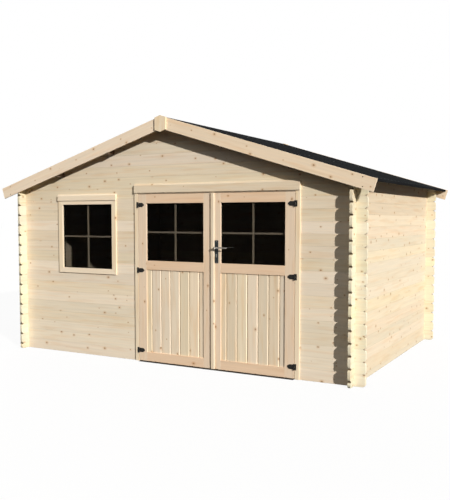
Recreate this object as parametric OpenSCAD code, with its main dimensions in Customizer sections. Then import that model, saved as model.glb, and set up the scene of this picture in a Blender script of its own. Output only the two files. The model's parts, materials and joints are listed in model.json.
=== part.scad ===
// Log-built garden shed with a pair of glazed doors, one window and a low felted gable roof.
// Millimetres. The origin is on the ground at the middle of the plan, the front faces -Y, +Z is up.
// Every wall is a stack of planed logs. The logs of crossing walls sit half a course apart and are
// notched into each other at the corners, and their rounded ends run on past the corner.

/* [Walls] */
// Width over the outer faces of the side walls
wall_w = 3980; // [3400:10:4800]
// Depth over the outer faces of the front and rear walls
wall_d = 2770; // [2000:10:3800]
// Thickness of a log
log_t = 28; // [22:1:44]
// Height of one course of logs
log_h = 114; // [108:1:125]
// Length of a log end past the wall that it crosses
log_end = 105; // [70:5:150]
// Radius of the corners of a log end
log_end_r = 31; // [6:1:40]
// Play between two logs
log_play = 0.2; // [0.1:0.1:1]
// Whole courses in a side wall, on top of its half log
side_courses = 16; // [16:1:18]
// Extra height of the bevelled log at the eaves
eaves_extra = 20; // [0:1:50]
// Shortest tip of a gable log that stays beyond a purlin
tip_min = 20; // [10:1:60]

/* [Roof] */
// Pitch of the roof in degrees
roof_pitch = 17.1; // [14:0.1:22]
// Thickness of the roof boards
deck_t = 19; // [15:1:25]
// Thickness of the roofing felt
felt_t = 3; // [2:0.5:5]
// Depth that the felt hangs below the roof boards at the eaves
felt_drop = 3; // [1:1:20]
// Overhang of the roof boards past the side walls
eaves_out = 190; // [120:1:260]
// Width of a barge board
barge_w = 120; // [90:1:150]
// Thickness of a barge board
barge_t = 16; // [14:1:30]
// Length of a barge board past the felt at the eaves
barge_past = 32; // [10:1:60]
// Width of the block that covers the joint of the barge boards
block_w = 132; // [80:2:180]
// Thickness of that block
block_t = 16; // [14:1:30]
// Height that the block stands above the barge boards
block_rise = 6; // [2:1:15]
// Depth that the block hangs below the barge boards
block_drop = 32; // [5:1:40]
// Width of a purlin
purlin_w = 45; // [36:1:70]
// Height of a purlin
purlin_h = 110; // [100:1:150]
// Distance between purlins
purlin_pitch = 700; // [550:10:800]

/* [Doors] */
// Middle of the doorway, to the right of the middle of the front
door_x = 526; // [420:1:600]
// Clear width of the doorway between its jambs
door_w = 1780; // [1600:10:1900]
// Whole courses that the doorway takes
door_courses = 16; // [15:1:16]
// Width of a door jamb seen from the front
jamb_w = 45; // [40:1:70]
// Depth of the groove in a jamb for the ends of the logs
jamb_groove = 24; // [16:1:30]
// Distance that frames stand out in front of the wall
frame_out = 14; // [14:1:40]
// Distance that the door frame stands into the room
frame_in = 20; // [12:1:40]
// Width of the stop that the doors close against
stop_w = 12; // [8:1:20]
// Height of the frame over the doors
head_h = 63; // [50:1:90]
// Gap between a door and its frame
door_gap = 5; // [5:0.5:8]
// Gap between the two doors
meeting_gap = 8; // [8:0.5:12]
// Gap under the doors
sill_gap = 8; // [6:1:20]
// Thickness of a door
leaf_t = 40; // [36:1:50]
// Width of the stiles beside the hinges, and of those beside the middle of the doorway
stile_w = 98; // [90:1:120]
// Height of the top rail
top_rail_h = 95; // [80:1:130]
// Height of the middle rail
mid_rail_h = 94; // [80:1:130]
// Height of the bottom rail
low_rail_h = 95; // [70:1:130]
// Height of the middle rail's top edge above the ground
mid_rail_z = 1066; // [1000:1:1200]
// Thickness of the boarded panel
panel_t = 16; // [12:1:20]
// Depth of the panel behind the face of the door
panel_back = 10; // [6:1:16]
// Depth of the panes behind the face of a frame or door
pane_back = 19; // [14:1:28]
// Depth of the window's pane behind the face of its frame
window_pane_back = 22; // [18:1:40]
// Thickness of a pane
pane_t = 4; // [3:1:6]
// Play round a pane or a panel
pane_play = 0.3; // [0.2:0.1:1]
// Width of the cover strip at the edge of the right door
strip_w = 41; // [30:1:50]
// Thickness of the cover strip
strip_t = 14; // [12:1:24]
// Size of the cover strip's chamfered edges
strip_chamfer = 4.5; // [2:0.5:6]
// Distance of the cover strip's free edge to the left of the middle of the doorway
strip_lead = 10; // [6:1:14]
// Height of the board over the doors
header_h = 92; // [70:1:120]
// Distance that the board over the doors stands in front of the frame
header_out = 11; // [6:1:20]
// Distance that the board hangs down over the head of the frame
header_lap = 54; // [30:1:58]
// Size of that board's chamfered top edge
header_chamfer = 15; // [4:1:18]

/* [Window] */
// Middle of the window, to the left of the middle of the front
window_x = 1058; // [980:1:1200]
// Width of the window's frame
window_w = 801; // [650:1:850]
// Courses below the window
sill_courses = 8; // [7:1:8]
// Courses that the window takes
window_courses = 7; // [6:1:7]
// Width of a member of the window's frame
window_member = 56; // [45:1:70]
// Distance that the frame laps over the ends of the logs beside it
window_lap = 20; // [10:1:30]
// Distance that the frame laps over the log below it
window_lap_low = 10; // [5:1:20]
// Distance that the frame laps over the log above it
window_lap_top = 3; // [2:1:10]
// Height of the drip board over the window
drip_h = 70; // [50:1:90]
// Distance that the drip board hangs down over the frame
drip_lap = 14; // [8:1:30]
// Distance that the drip board stands in front of the frame
drip_out = 9; // [4:1:16]
// Size of the drip board's chamfered top edge
drip_chamfer = 15; // [4:1:16]
// Length of the drip board past the frame at each side
drip_past = 5; // [0:1:20]
// Distance that the lining stands into the room
lining_in = 2; // [0:1:10]

/* [Door furniture] */
// Radius of a hinge knuckle
knuckle_r = 7; // [6:0.5:9]
// Radius of a hinge pin
hinge_pin_r = 3.5; // [2.5:0.5:4]
// Play round a hinge pin and the lever's neck
pin_play = 0.08; // [0.03:0.01:0.1]
// Height of a hinge
hinge_h = 58; // [48:1:70]
// Height of a hinge strap
strap_h = 44; // [36:1:60]
// Length of a hinge strap from the pin
strap_l = 73; // [50:1:90]
// Height of the blunt tip of a hinge strap
strap_tip_h = 12; // [6:1:20]
// Width of a hinge plate on the jamb from the pin
hinge_plate_w = 21; // [20:1:40]
// Thickness of the hinge plates and lock plates
plate_t = 3; // [2:0.5:4]
// Distance of the upper and lower hinges from the ends of the door
hinge_inset = 110; // [80:5:180]
// Distance of the middle hinge below the middle rail
hinge_below = 8; // [0:1:60]
// Gap between a hinge knuckle and the face of the door
knuckle_clear = 0.5; // [0.5:0.5:2]
// Gap between a hinge knuckle and the plate beside it
knuckle_gap = 1; // [1:0.5:2]
// Width of a lock plate
lock_plate_w = 41; // [30:1:45]
// Height of a lock plate
lock_plate_h = 226; // [180:1:260]
// Radius of a lock plate's corners
lock_plate_r = 6; // [2:1:12]
// Distance from the cover strip to the lock plate
lock_plate_gap = 2; // [2:1:10]
// Distance from the lever's axis down to the middle of the cylinder
lever_spacing = 72; // [60:1:92]
// Distance from the top of the lock plate down to the lever's axis
lever_drop = 72; // [60:1:100]
// Radius of the lever's neck
neck_r = 8; // [6:0.5:10]
// Radius of the lever
lever_r = 7; // [5:0.5:9]
// Length of the lever from its axis
lever_l = 140; // [100:1:170]
// Distance of the lever's middle from the face of the door
lever_out = 52; // [40:1:65]
// Radius of the spindle between the two levers
spindle_r = 5; // [4:0.5:6]
// Room round the spindle inside the door
spindle_room = 3; // [2:0.5:5]
// Radius of the lock cylinder
barrel_r = 8.5; // [7:0.5:10]
// Height of the lock cylinder from its round top to its foot
barrel_h = 33; // [28:1:36]
// Width of the lock cylinder's foot
barrel_foot = 10; // [8:1:12]
// Distance that the lock cylinder stands out of its plates
barrel_out = 3; // [1:0.5:8]
// Play round the lock cylinder
barrel_play = 0.3; // [0.2:0.1:1]

/* [Hidden] */
$fn = 32;

// Colours of the finishes
pine = "#DCCBAA";
door_pine = "#E2C7A4";
boards = "#C9B48F";
felt = "#22262A";
pane_grey = [0.05, 0.06, 0.06, 0.6];
black_iron = "#1C1C1E";
plate_dark = "#2C3233";
satin_steel = "#B9BCC0";

// Facets in a quarter turn of a log end
end_steps = 5;

// Length by which a cut runs out of the solid that it cuts
over = 1;

// Planes of the front wall, its frames and its doors
front_y = -wall_d / 2;
frame_y = front_y - frame_out;
leaf_back_y = frame_y + leaf_t;
room_y = front_y + log_t + frame_in;
stop_y = leaf_back_y + door_gap;

// Half the height of the neck between the two notches of a log
half_neck = log_h / 4 - log_play / 2;

// Roof lines: the underside of the boards passes through the inner top edge of the side walls
tan_p = tan(roof_pitch);
sin_p = sin(roof_pitch);
cos_p = cos(roof_pitch);
eaves_z = (side_courses + 0.5) * log_h + eaves_extra;
eaves_in_x = wall_w / 2 - log_t;
ridge_z = eaves_z + eaves_in_x * tan_p;
roof_end_y = wall_d / 2 + log_end;
roof_t = deck_t + felt_t;
slope_l = (wall_w / 2 + eaves_out) / cos_p;
barge_x = wall_w / 2 + eaves_out + barge_past;
purlin_places = [-2 * purlin_pitch, -purlin_pitch, purlin_pitch, 2 * purlin_pitch];

// Walls and purlins stop this far under the roof boards
roof_play = log_play / 2;

// Doorway and doors
door_left = door_x - door_w / 2;
door_right = door_x + door_w / 2;
door_top = door_courses * log_h;
head_z = door_top - head_h;
leaf_top = head_z - door_gap;
left_edge = door_left + door_gap;
right_edge = door_right - door_gap;
strip_x = door_x - strip_lead;
left_meet = strip_x - meeting_gap;
left_in = left_edge + stile_w;
left_meet_in = door_x - stile_w;
right_meet_in = door_x + stile_w;
right_in = right_edge - stile_w;
log_cut_left = door_left - jamb_w + jamb_groove - log_play;
log_cut_right = door_right + jamb_w - jamb_groove + log_play;
pin_left = door_left + door_gap / 2;
pin_right = door_right - door_gap / 2;
pin_y = frame_y - knuckle_r - knuckle_clear;
knuckle_h = hinge_h / 3;
hinge_heights = [sill_gap + hinge_inset, mid_rail_z - mid_rail_h - hinge_below, leaf_top - hinge_inset];

// Window and its opening
window_left = -window_x - window_w / 2;
window_right = -window_x + window_w / 2;
cut_left = window_left + window_lap;
cut_right = window_right - window_lap;
cut_low = sill_courses * log_h;
cut_top = (sill_courses + window_courses) * log_h;
window_low = cut_low - window_lap_low;
window_top = cut_top + window_lap_top;
lining_y = front_y + log_t + lining_in;

// Lock
lock_x = strip_x + strip_w + lock_plate_gap + lock_plate_w / 2;
lock_top = mid_rail_z + lock_plate_h;
lever_z = lock_top - lever_drop;
barrel_z = lever_z - lever_spacing;

// Height of the underside of the roof boards at a distance from the ridge
function under(x) = ridge_z - abs(x) * tan_p;

// A point at a distance down the right slope and a height square to the underside of the boards
function on_slope(u, h) = [u * cos_p + h * sin_p, ridge_z - u * sin_p + h * cos_p];

// The distance down the slope at which that height meets the upright plane of the ridge
function at_ridge(h) = -h * sin_p / cos_p;

function arc(centre, r, first, last) =
    [for (i = [0 : end_steps]) let (a = first + (last - first) * i / end_steps)
        centre + r * [cos(a), sin(a)]];

// Outline of one log end, from its bottom edge to its top edge: a notch below and above the neck,
// then the rounded tip. lead is the distance to the outer face of the wall that the log crosses.
// A log cut to half a course keeps a smaller radius, so that its two corners don't meet.
function log_tip(lead, low, high, neck_low, neck_high) =
    let (inner = lead - log_t - log_play, outer = lead + log_play,
        r = min(log_end_r, (high - low) / 2 - log_play), tip = lead + log_end - r)
    concat(neck_low > low ? [[inner, low], [inner, neck_low], [outer, neck_low], [outer, low]] : [],
        arc([tip, low + r], r, -90, 0), arc([tip, high - r], r, 0, 90),
        neck_high < high ? [[outer, high], [outer, neck_high], [inner, neck_high], [inner, high]] : []);

function flipped(points) = [for (i = [len(points) - 1 : -1 : 0]) [-points[i].x, points[i].y]];

// Draws a shape on the front's plane and gives it the depth from near to far
module across(near, far) {
    translate([0, far, 0]) rotate([90, 0, 0]) linear_extrude(far - near) children();
}

// Draws a shape on a side's plane and gives it the width from left to right
module along(left, right) {
    translate([left, 0, 0]) rotate([90, 0, 90]) linear_extrude(right - left) children();
}

module block(low, high) {
    translate(low) cube(high - low);
}

module rounded_plate(w, h, r) {
    polygon(concat(arc([w / 2 - r, r - h / 2], r, -90, 0), arc([w / 2 - r, h / 2 - r], r, 0, 90),
        arc([r - w / 2, h / 2 - r], r, 90, 180), arc([r - w / 2, r - h / 2], r, 180, 270)));
}

// One log on its own plane. An end with no cut given crosses the next wall.
module log_outline(lead, low, high, neck, from, to) {
    tip = log_tip(lead, low, high, neck - half_neck, neck + half_neck);
    polygon(concat(is_undef(to) ? tip : [[to, low], [to, high]],
        is_undef(from) ? flipped(tip) : [[from, high], [from, low]]));
}

module gable_log(course, wall_y, from = undef, to = undef) {
    across(wall_y, wall_y + log_t)
        log_outline(wall_w / 2, course * log_h, (course + 1) * log_h - log_play, (course + 0.5) * log_h,
            from, to);
}

module side_log(course, wall_x) {
    low = max(0, (course - 0.5) * log_h);
    high = course == side_courses ? eaves_z : (course + 0.5) * log_h - log_play;
    along(wall_x, wall_x + log_t) log_outline(wall_d / 2, low, high, course * log_h, undef, undef);
}

// Everything below the roof boards
module below_roof() {
    reach = wall_w / 2 + log_end + over;
    side_z = under(reach) - roof_play;
    across(-roof_end_y - over, roof_end_y + over)
        polygon([[-reach, -over], [reach, -over], [reach, side_z], [0, ridge_z - roof_play],
            [-reach, side_z]]);
}

// A purlin, or with play given the room that is cut for it
module purlin(x, play = 0) {
    near = x - purlin_w / 2 - play;
    far = x + purlin_w / 2 + play;
    low = under(x) - purlin_h - play;
    top = play - roof_play;
    across(-roof_end_y - play, roof_end_y + play)
        polygon(concat([[near, low], [far, low], [far, under(far) + top]],
            x == 0 ? [[0, ridge_z + top]] : [], [[near, under(near) + top]]));
}

// The tip of one gable log beyond a purlin, where it is too short to stay
module short_tip(course, x, wall_y) {
    low = course * log_h - log_play / 2;
    start = abs(x) + purlin_w / 2;
    tip = (ridge_z - low) / tan_p;
    if (tip > start && tip < start + tip_min)
        block([x < 0 ? -tip : start, wall_y - over, low],
            [x < 0 ? -start : tip, wall_y + log_t + over, low + log_h]);
}

// The logs of a gable wall from one course up to the ridge, cut to the roof and round the purlins
module gable_logs(first, wall_y) {
    last = ceil(ridge_z / log_h) - 1;
    difference() {
        intersection() {
            for (course = [first : last]) gable_log(course, wall_y);
            below_roof();
        }
        purlin(0, log_play);
        for (x = purlin_places) {
            purlin(x, log_play);
            for (course = [first : last]) short_tip(course, x, wall_y);
        }
    }
}

module side_logs(wall_x) {
    intersection() {
        for (course = [0 : side_courses]) side_log(course, wall_x);
        below_roof();
    }
}

module front_wall_below_window() {
    color(pine) for (course = [0 : sill_courses - 1]) gable_log(course, front_y, to = log_cut_left);
}

module front_wall_left_of_window() {
    color(pine) for (course = [sill_courses : sill_courses + window_courses - 1])
        gable_log(course, front_y, to = cut_left);
}

module front_wall_window_to_door() {
    color(pine) for (course = [sill_courses : sill_courses + window_courses - 1])
        gable_log(course, front_y, from = cut_right, to = log_cut_left);
}

module front_wall_over_window() {
    color(pine) for (course = [sill_courses + window_courses : 1 : door_courses - 1])
        gable_log(course, front_y, to = log_cut_left);
}

module front_wall_right_of_doors() {
    color(pine) for (course = [0 : door_courses - 1]) gable_log(course, front_y, from = log_cut_right);
}

module front_gable() {
    color(pine) gable_logs(door_courses, front_y);
}

module rear_wall() {
    color(pine) gable_logs(0, wall_d / 2 - log_t);
}

module left_side_wall() {
    color(pine) side_logs(-wall_w / 2);
}

module right_side_wall() {
    color(pine) side_logs(wall_w / 2 - log_t);
}

module ridge_beam() {
    color(boards) purlin(0);
}

module roof_purlins() {
    color(boards) for (x = purlin_places) purlin(x);
}

module roof_deck() {
    across(-roof_end_y, roof_end_y)
        polygon([on_slope(0, 0), on_slope(slope_l, 0), on_slope(slope_l, deck_t),
            on_slope(at_ridge(deck_t), deck_t)]);
}

// Felt on the right slope, folded down over the edge of the boards at the eaves
module roof_felt() {
    across(-roof_end_y, roof_end_y)
        polygon([on_slope(at_ridge(deck_t), deck_t), on_slope(slope_l, deck_t),
            on_slope(slope_l, -felt_drop), on_slope(slope_l + felt_t, -felt_drop),
            on_slope(slope_l + felt_t, roof_t), on_slope(at_ridge(roof_t), roof_t)]);
}

module roof_deck_left() {
    color(boards) mirror([1, 0, 0]) roof_deck();
}

module roof_deck_right() {
    color(boards) roof_deck();
}

module roof_felt_left() {
    color(felt) mirror([1, 0, 0]) roof_felt();
}

module roof_felt_right() {
    color(felt) roof_felt();
}

// Right barge board of the front: its top edge is level with the felt, and its foot is cut square
module barge() {
    foot_u = barge_x / cos_p - roof_t * tan_p;
    across(-roof_end_y - barge_t, -roof_end_y)
        polygon([on_slope(at_ridge(roof_t), roof_t), on_slope(at_ridge(roof_t - barge_w), roof_t - barge_w),
            on_slope(foot_u, roof_t - barge_w), on_slope(foot_u, roof_t)]);
}

module front_barge_left() {
    color(pine) mirror([1, 0, 0]) barge();
}

module front_barge_right() {
    color(pine) barge();
}

module rear_barge_left() {
    color(pine) mirror([1, 0, 0]) mirror([0, 1, 0]) barge();
}

module rear_barge_right() {
    color(pine) mirror([0, 1, 0]) barge();
}

// Six-sided cover block at the front: pitched like the roof on top, and pointed below
module ridge_block() {
    half = block_w / 2;
    peak = ridge_z + roof_t / cos_p + block_rise;
    point = ridge_z + (roof_t - barge_w) / cos_p - block_drop;
    across(-roof_end_y - barge_t - block_t, -roof_end_y - barge_t)
        polygon([[0, peak], [-half, peak - half * tan_p], [-half, point + half * tan_p], [0, point],
            [half, point + half * tan_p], [half, peak - half * tan_p]]);
}

module front_ridge_block() {
    color(pine) ridge_block();
}

module rear_ridge_block() {
    color(pine) mirror([0, 1, 0]) ridge_block();
}

// Frame of the window: a casing in front of the wall and a lining through it
module window_frame() {
    color(pine) difference() {
        union() {
            block([window_left, frame_y, window_low], [window_right, front_y, window_top]);
            block([cut_left + log_play, front_y - over, cut_low + log_play],
                [cut_right - log_play, lining_y, cut_top - log_play]);
        }
        block([window_left + window_member, frame_y - over, window_low + window_member],
            [window_right - window_member, lining_y + over, window_top - window_member]);
    }
}

module window_pane() {
    inset = window_member + pane_play;
    near = frame_y + window_pane_back;
    color(pane_grey) block([window_left + inset, near, window_low + inset],
        [window_right - inset, near + pane_t, window_top - inset]);
}

// Board over the window, hooked over the top of its frame
module window_drip() {
    low = window_top - drip_lap;
    near = frame_y - drip_out;
    color(pine) along(window_left - drip_past, window_right + drip_past)
        polygon([[near, low], [frame_y, low], [frame_y, window_top], [front_y, window_top],
            [front_y, low + drip_h], [near + drip_chamfer, low + drip_h],
            [near, low + drip_h - drip_chamfer]]);
}

// Left jamb: a post grooved over the ends of the logs, with a stop behind the door
module jamb() {
    outer = door_left - jamb_w;
    groove = log_cut_left + 2 * log_play;
    linear_extrude(door_top) polygon([[outer, frame_y], [door_left, frame_y], [door_left, stop_y],
        [door_left + stop_w, stop_y], [door_left + stop_w, room_y], [outer, room_y],
        [outer, front_y + log_t + log_play], [groove, front_y + log_t + log_play],
        [groove, front_y - log_play], [outer, front_y - log_play]]);
}

module door_jamb_left() {
    color(pine) jamb();
}

module door_jamb_right() {
    color(pine) translate([2 * door_x, 0, 0]) mirror([1, 0, 0]) jamb();
}

// Head of the door frame between the jambs, cut round their stops
module door_head() {
    stop_z = head_z - stop_w;
    color(pine) difference() {
        along(door_left, door_right)
            polygon([[frame_y, head_z], [stop_y, head_z], [stop_y, stop_z], [room_y, stop_z],
                [room_y, door_top], [frame_y, door_top]]);
        for (x = [door_left, door_right])
            block([x - stop_w, stop_y, stop_z - over], [x + stop_w, room_y + over, door_top + over]);
    }
}

// Board over the doors, hooked over the head of the frame
module door_header_board() {
    low = door_top - header_lap;
    high = low + header_h;
    near = frame_y - header_out;
    color(pine) along(door_left - jamb_w, door_right + jamb_w)
        polygon([[near, low], [frame_y, low], [frame_y, door_top], [front_y, door_top], [front_y, high],
            [near + header_chamfer, high], [near, high - header_chamfer]]);
}

// Hinge half on the left jamb, with its pin, at the origin of the pin
module frame_hinge() {
    back = frame_y - pin_y;
    edge = -knuckle_r - knuckle_gap;
    for (low = [-hinge_h / 2, knuckle_h / 2 + pin_play]) {
        high = low + knuckle_h - pin_play;
        translate([0, 0, low]) cylinder(r = knuckle_r, h = high - low);
        block([edge - over, back - plate_t, low], [0, back, high]);
    }
    translate([0, 0, -hinge_h / 2]) cylinder(r = hinge_pin_r, h = hinge_h);
    block([-hinge_plate_w, back - plate_t, -hinge_h / 2], [edge, back, hinge_h / 2]);
}

// Hinge half on the left door, at the origin of the pin
module strap_hinge() {
    back = frame_y - pin_y;
    start = knuckle_r + knuckle_gap;
    shoulder = strap_l - strap_h / 2;
    difference() {
        union() {
            translate([0, 0, -knuckle_h / 2]) cylinder(r = knuckle_r, h = knuckle_h);
            block([0, back - plate_t, -knuckle_h / 2], [start + over, back, knuckle_h / 2]);
            across(back - plate_t, back)
                polygon([[start, -strap_h / 2], [shoulder, -strap_h / 2], [strap_l, -strap_tip_h / 2],
                    [strap_l, strap_tip_h / 2], [shoulder, strap_h / 2], [start, strap_h / 2]]);
        }
        translate([0, 0, -hinge_h]) cylinder(r = hinge_pin_r + pin_play, h = 2 * hinge_h);
    }
}

module hinges_on_left() {
    for (z = hinge_heights) translate([pin_left, pin_y, z]) children();
}

module hinges_on_right() {
    for (z = hinge_heights) translate([pin_right, pin_y, z]) mirror([1, 0, 0]) children();
}

module frame_hinges_left() {
    color(black_iron) hinges_on_left() frame_hinge();
}

module frame_hinges_right() {
    color(black_iron) hinges_on_right() frame_hinge();
}

module left_door_straps() {
    color(black_iron) hinges_on_left() strap_hinge();
}

module right_door_straps() {
    color(black_iron) hinges_on_right() strap_hinge();
}

// The three rails of a door between two stiles
module rails(left, right) {
    for (span = [[sill_gap, sill_gap + low_rail_h], [mid_rail_z - mid_rail_h, mid_rail_z],
            [leaf_top - top_rail_h, leaf_top]])
        block([left, frame_y, span[0]], [right, leaf_back_y, span[1]]);
}

module panel(left, right) {
    near = frame_y + panel_back;
    block([left + pane_play, near, sill_gap + low_rail_h + pane_play],
        [right - pane_play, near + panel_t, mid_rail_z - mid_rail_h - pane_play]);
}

module pane(left, right) {
    near = frame_y + pane_back;
    block([left + pane_play, near, mid_rail_z + pane_play],
        [right - pane_play, near + pane_t, leaf_top - top_rail_h - pane_play]);
}

module left_door_stiles() {
    color(door_pine) {
        block([left_edge, frame_y, sill_gap], [left_in, leaf_back_y, leaf_top]);
        block([left_meet_in, frame_y, sill_gap], [left_meet, leaf_back_y, leaf_top]);
    }
}

module left_door_rails() {
    color(door_pine) rails(left_in, left_meet_in);
}

module left_door_panel() {
    color(door_pine) panel(left_in, left_meet_in);
}

module left_door_pane() {
    color(pane_grey) pane(left_in, left_meet_in);
}

// Section of the lock cylinder, round above and narrow below
module barrel_section(play = 0) {
    circle(r = barrel_r + play);
    translate([-barrel_foot / 2 - play, barrel_r - barrel_h - play])
        square([barrel_foot + 2 * play, barrel_h - barrel_r]);
}

module right_door_stiles() {
    color(door_pine) {
        difference() {
            block([strip_x, frame_y, sill_gap], [right_meet_in, leaf_back_y, leaf_top]);
            translate([lock_x, 0, lever_z]) across(frame_y - over, leaf_back_y + over)
                circle(r = spindle_r + spindle_room);
            translate([lock_x, 0, barrel_z]) across(frame_y - over, leaf_back_y + over)
                barrel_section(barrel_play);
        }
        block([right_in, frame_y, sill_gap], [right_edge, leaf_back_y, leaf_top]);
    }
}

module right_door_rails() {
    color(door_pine) rails(right_meet_in, right_in);
}

module right_door_panel() {
    color(door_pine) panel(right_meet_in, right_in);
}

module right_door_pane() {
    color(pane_grey) pane(right_meet_in, right_in);
}

// Cover strip at the meeting edge of the right door
module cover_strip() {
    right = strip_x + strip_w;
    near = frame_y - strip_t;
    color(pine) translate([0, 0, sill_gap]) linear_extrude(leaf_top - sill_gap)
        polygon([[strip_x, frame_y], [strip_x, near + strip_chamfer], [strip_x + strip_chamfer, near],
            [right - strip_chamfer, near], [right, near + strip_chamfer], [right, frame_y]]);
}

module lock_plate(near, far) {
    difference() {
        translate([lock_x, 0, lock_top - lock_plate_h / 2]) across(near, far)
            rounded_plate(lock_plate_w, lock_plate_h, lock_plate_r);
        translate([lock_x, 0, lever_z]) across(near - over, far + over) circle(r = neck_r + pin_play);
        translate([lock_x, 0, barrel_z]) across(near - over, far + over) barrel_section(barrel_play);
    }
}

module lock_plate_outside() {
    color(plate_dark) lock_plate(frame_y - plate_t, frame_y);
}

module lock_plate_inside() {
    color(plate_dark) lock_plate(leaf_back_y, leaf_back_y + plate_t);
}

module lock_cylinder() {
    color(satin_steel) translate([lock_x, 0, barrel_z])
        across(frame_y - plate_t - barrel_out, leaf_back_y + plate_t + barrel_out) barrel_section();
}

// One lever with its neck, from a face of the door outwards along -Y, at the origin of its axis
module lever() {
    translate([0, -lever_out, 0]) {
        rotate([0, 90, 0]) cylinder(r = lever_r, h = lever_l - lever_r);
        translate([lever_l - lever_r, 0, 0]) sphere(r = lever_r);
        sphere(r = neck_r);
        rotate([-90, 0, 0]) cylinder(r = neck_r, h = lever_out);
    }
}

module lever_handle() {
    color(satin_steel) {
        translate([lock_x, frame_y, lever_z]) lever();
        translate([lock_x, leaf_back_y, lever_z]) mirror([0, 1, 0]) lever();
        translate([lock_x, frame_y - over, lever_z]) rotate([-90, 0, 0])
            cylinder(r = spindle_r, h = leaf_t + 2 * over);
    }
}

front_wall_below_window();
front_wall_left_of_window();
front_wall_window_to_door();
front_wall_over_window();
front_wall_right_of_doors();
front_gable();
rear_wall();
left_side_wall();
right_side_wall();
ridge_beam();
roof_purlins();
roof_deck_left();
roof_deck_right();
roof_felt_left();
roof_felt_right();
front_barge_left();
front_barge_right();
rear_barge_left();
rear_barge_right();
front_ridge_block();
rear_ridge_block();
window_frame();
window_drip();
window_pane();
door_jamb_left();
door_jamb_right();
door_head();
door_header_board();
frame_hinges_left();
frame_hinges_right();
left_door_stiles();
left_door_rails();
left_door_panel();
left_door_pane();
left_door_straps();
right_door_stiles();
right_door_rails();
right_door_panel();
right_door_pane();
right_door_straps();
cover_strip();
lock_plate_outside();
lock_plate_inside();
lock_cylinder();
lever_handle();
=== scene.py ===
"""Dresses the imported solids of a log-built garden shed as planed pine, roofing felt, glass and iron."""

import json
import math
from contextlib import contextmanager

import bpy
from bpy.props import FloatProperty, FloatVectorProperty, PointerProperty
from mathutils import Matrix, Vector

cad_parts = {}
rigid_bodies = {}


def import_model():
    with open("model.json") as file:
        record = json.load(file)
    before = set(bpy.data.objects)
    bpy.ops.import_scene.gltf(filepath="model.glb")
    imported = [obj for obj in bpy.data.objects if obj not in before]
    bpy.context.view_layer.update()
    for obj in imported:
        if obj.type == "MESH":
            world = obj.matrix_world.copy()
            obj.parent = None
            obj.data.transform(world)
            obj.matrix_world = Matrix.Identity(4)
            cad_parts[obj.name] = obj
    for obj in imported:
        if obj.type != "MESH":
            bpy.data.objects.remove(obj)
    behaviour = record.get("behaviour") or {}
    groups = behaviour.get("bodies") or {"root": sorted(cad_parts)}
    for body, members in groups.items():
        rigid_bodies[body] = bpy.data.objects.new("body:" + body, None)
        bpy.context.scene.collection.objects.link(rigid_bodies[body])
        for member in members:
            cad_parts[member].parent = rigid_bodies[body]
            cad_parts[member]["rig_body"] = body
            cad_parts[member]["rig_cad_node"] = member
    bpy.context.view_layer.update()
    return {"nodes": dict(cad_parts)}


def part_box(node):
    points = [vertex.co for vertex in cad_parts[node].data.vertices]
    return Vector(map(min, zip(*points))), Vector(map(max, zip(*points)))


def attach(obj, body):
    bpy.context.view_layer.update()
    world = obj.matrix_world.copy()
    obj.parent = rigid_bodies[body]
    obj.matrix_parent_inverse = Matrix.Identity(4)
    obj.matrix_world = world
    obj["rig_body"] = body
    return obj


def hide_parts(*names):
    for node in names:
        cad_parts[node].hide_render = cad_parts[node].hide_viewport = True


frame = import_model()

bl_info = {
    "name": "Log-built garden shed",
    "version": (1, 0, 0),
    "blender": (4, 5, 0),
    "location": "3D View > Sidebar > Shed",
    "description": "Models the finished pieces of a garden shed round its packed solids",
    "category": "Object",
}


def low(node):
    """Lowest corner of a CAD node."""
    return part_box(node)[0]


def high(node):
    """Highest corner of a CAD node."""
    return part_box(node)[1]


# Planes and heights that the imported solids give
COURSES_TO_DOOR_HEAD = 16
COURSE = round(high("front_wall_over_window").z / COURSES_TO_DOOR_HEAD, 4)
WALL_Y = low("front_wall_over_window").y
FACE_Y = low("left_door_stiles").y
SIDE_X = high("right_side_wall").x
LOG_T = high("front_wall_over_window").y - WALL_Y
ROOF_Y = high("roof_deck_right").y
PLATE_Y = low("lock_plate_outside").y

# Edges turned by more than SHARP get an arris, and those by less than SMOOTH are shaded round
SHARP = math.radians(40)
SMOOTH = math.radians(20)

# A face whose normal has more than FACING along an axis looks that way
FACING = 0.9

# Corners of a solid nearer than MERGE become one, and faces bent by less than FLAT become one
MERGE = 0.00001
FLAT = math.radians(0.5)

# Least height between two solids of a node that count as separate
STACK_GAP = 0.2

# Height of a felt nail's head, and how far it is driven in
CLOUT_H = 0.0012
CLOUT_SINK = 0.0004

# Screws of a hinge, from the tip of its strap and the edge of its plate, and of a lock plate
TIP_SCREW = 0.016
PAIR_SCREWS = 0.044
PAIR_RISE = 0.012
PLATE_SCREWS = 0.0065
PLATE_RISE = 0.018
LOCK_SCREW = 0.011

# Distance of the lamps from the shed
LAMP_OFF = 12.0

FRONT_LOGS = (
    "front_wall_below_window",
    "front_wall_left_of_window",
    "front_wall_window_to_door",
    "front_wall_over_window",
    "front_wall_right_of_doors",
    "front_gable",
)


def number(name, description, default, **settings):
    """A property of one number."""
    return FloatProperty(name=name, description=description, default=default, **settings)


def length(name, description, default):
    """A property in metres."""
    return number(name, description, default, min=0.0, unit="LENGTH")


def angle(name, description, degrees):
    """An angle property, given in degrees."""
    return number(name, description, math.radians(degrees), subtype="ANGLE")


def power(name, description, default):
    """A property for the strength of a light."""
    return number(name, description, default, min=0.0)


def triple(name, description, default, **settings):
    """A property of three numbers."""
    return FloatVectorProperty(name=name, description=description, default=default, size=3, **settings)


def direction(name, description, default):
    """A property for a direction."""
    return triple(name, description, default, subtype="DIRECTION")


def colour(name, description, default):
    """A colour property, in linear values."""
    return triple(name, description, default, min=0.0, max=1.0, subtype="COLOR")


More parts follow.
